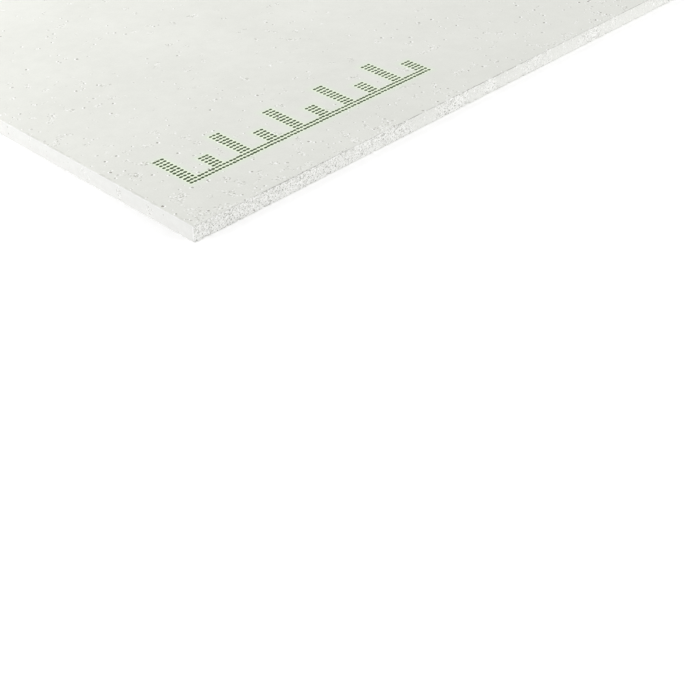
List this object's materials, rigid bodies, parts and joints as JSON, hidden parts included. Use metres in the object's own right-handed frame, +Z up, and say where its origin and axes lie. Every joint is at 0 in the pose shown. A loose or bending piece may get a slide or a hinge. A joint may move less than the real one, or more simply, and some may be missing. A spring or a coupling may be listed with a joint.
{
  "type": "drywall sheet",
  "caption": "Flat rectangular gypsum fibreboard drywall sheet, unfaced, with square sawn edges, for lining walls, ceilings and floors.",
  "frame": {"origin": "middle of the underside, on the surface that the sheet lies on", "axes": "+X along the long edges, +Y along the short edges, +Z up out of the printed face"},
  "size_m": [1.5, 1, 0.0125],
  "materials": {
    "gypsum_fibre": "matte",
    "print_ink": "matte"
  },
  "bodies": {
    "root": {"drywall_sheet": "gypsum_fibre"}
  },
  "joints": []
}
